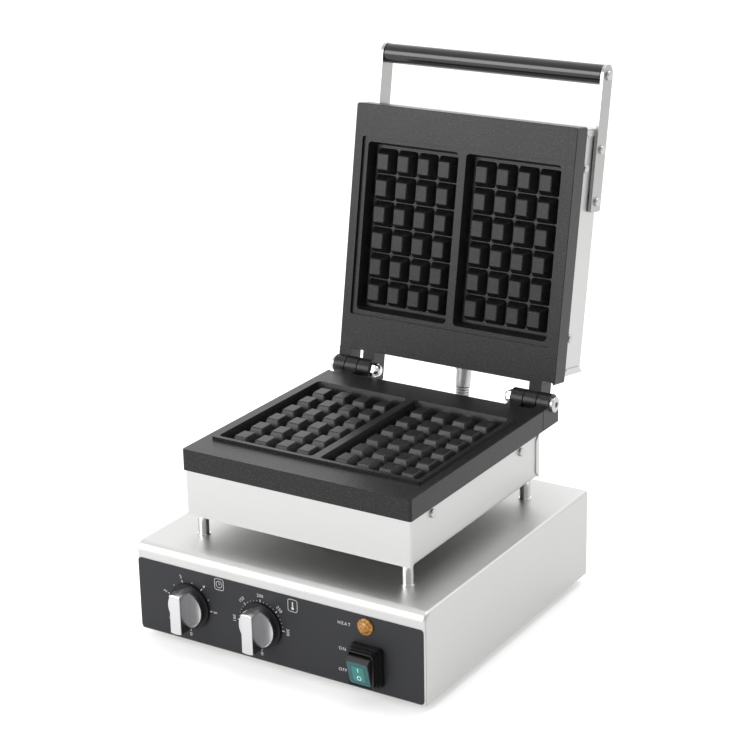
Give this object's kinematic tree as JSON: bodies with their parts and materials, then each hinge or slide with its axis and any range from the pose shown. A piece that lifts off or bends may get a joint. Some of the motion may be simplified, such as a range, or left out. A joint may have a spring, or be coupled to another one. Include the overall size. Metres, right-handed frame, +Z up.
{
  "type": "double waffle maker",
  "caption": "Counter-top waffle maker with a steel control base, a fixed lower baking plate on legs and a hinged upper baking plate with a bar handle, shown open.",
  "frame": {"origin": "on the floor under the middle of the whole appliance's bounding box with the lid open (38.7 mm behind the middle of the control base)", "axes": "+Z up, +Y towards the hinge and the back panel, +X to the right as seen by a user facing the dials"},
  "size_m": [0.3, 0.4224, 0.4777],
  "materials": {
    "stainless": "satin brushed",
    "polished_steel": "polished",
    "zinc_fastener": "bright plated",
    "coated_casting": "dark grey non-stick coat with fine speckle",
    "plain_steel": "mill finish",
    "element_steel": "dull oxidised",
    "insulation": "matt fibre mat",
    "black_grip": "glossy black",
    "silver_knob": "satin silver",
    "black_plastic": "satin black",
    "black_rubber": "matt black",
    "rocker_teal": "translucent dark teal",
    "lamp_amber": "translucent amber",
    "panel_foil": "fine-grained dark grey foil with pale print",
    "feet_rubber": "matt black",
    "control_body": "natural moulding",
    "ceramic": "glazed ceramic look",
    "lead_sleeve": "red heat-proof sleeve",
    "copper_tube": "bare copper",
    "conduit_steel": "corrugated, satin"
  },
  "bodies": {
    "base": {"base_shell": "stainless", "rear_panel": "stainless", "rear_panel_screws": "zinc_fastener", "bottom_plate": "plain_steel", "feet": "feet_rubber", "foot_screws": "zinc_fastener", "front_overlay": "panel_foil", "legs": "polished_steel", "leg_bolts": "zinc_fastener", "leg_nuts": "zinc_fastener", "wiring_duct": "polished_steel", "lower_plate": "coated_casting", "hinge_bolts": "zinc_fastener", "hinge_nuts": "polished_steel", "lower_box_pan": "stainless", "lower_box_front_sheet": "stainless", "lower_box_rear_sheet": "stainless", "lower_box_screws": "zinc_fastener", "lower_element": "element_steel", "lower_clamp_plate": "plain_steel", "lower_clamp_bolts": "zinc_fastener", "lower_insulation": "insulation", "timer_body": "control_body", "thermostat_body": "ceramic", "dial_nuts": "zinc_fastener", "switch_body": "black_plastic", "switch_boot": "black_rubber", "lamp_body": "control_body", "lamp_lens": "lamp_amber", "terminal_block": "ceramic", "over_temperature_cutout": "control_body", "thermostat_bulb_and_capillary": "copper_tube", "internal_leads": "lead_sleeve", "cord_gland": "black_plastic", "gland_nuts": "black_plastic", "conduit_gland": "black_plastic", "conduit": "conduit_steel"},
    "lid": {"upper_plate": "coated_casting", "upper_box_pan": "stainless", "upper_box_front_sheet": "stainless", "upper_box_rear_sheet": "stainless", "upper_box_screws": "zinc_fastener", "upper_element": "element_steel", "upper_clamp_plate": "plain_steel", "upper_clamp_bolts": "zinc_fastener", "upper_insulation": "insulation", "handle_arm_left": "stainless", "handle_arm_right": "stainless", "handle_press_nuts": "zinc_fastener", "handle_arm_screws": "zinc_fastener", "handle_grip": "black_grip", "grip_screws": "zinc_fastener", "conduit_ferrule": "polished_steel"},
    "timer_dial": {"timer_shaft": "polished_steel", "timer_knob_skirt": "black_plastic", "timer_knob": "silver_knob"},
    "thermostat_dial": {"thermostat_shaft": "polished_steel", "thermostat_knob_skirt": "black_plastic", "thermostat_knob": "silver_knob"},
    "rocker": {"switch_rocker": "rocker_teal"}
  },
  "joints": [
    {"name": "lid_hinge", "type": "hinge", "parent": "base", "child": "lid", "pos_m": [0, 0.09932, 0.178], "axis": [1, 0, 0], "range_deg": [0, 100], "deforming": ["conduit"]},
    {"name": "timer_turn", "type": "hinge", "parent": "base", "child": "timer_dial", "pos_m": [-0.093, -0.18918, 0.043], "axis": [0, 1, 0], "range_deg": [0, 270]},
    {"name": "thermostat_turn", "type": "hinge", "parent": "base", "child": "thermostat_dial", "pos_m": [-0.016, -0.18918, 0.043], "axis": [0, 1, 0], "range_deg": [0, 270]},
    {"name": "rocker_tilt", "type": "hinge", "parent": "base", "child": "rocker", "pos_m": [0.0935, -0.19518, 0.0335], "axis": [-1, 0, 0], "range_deg": [0, 28]}
  ]
}
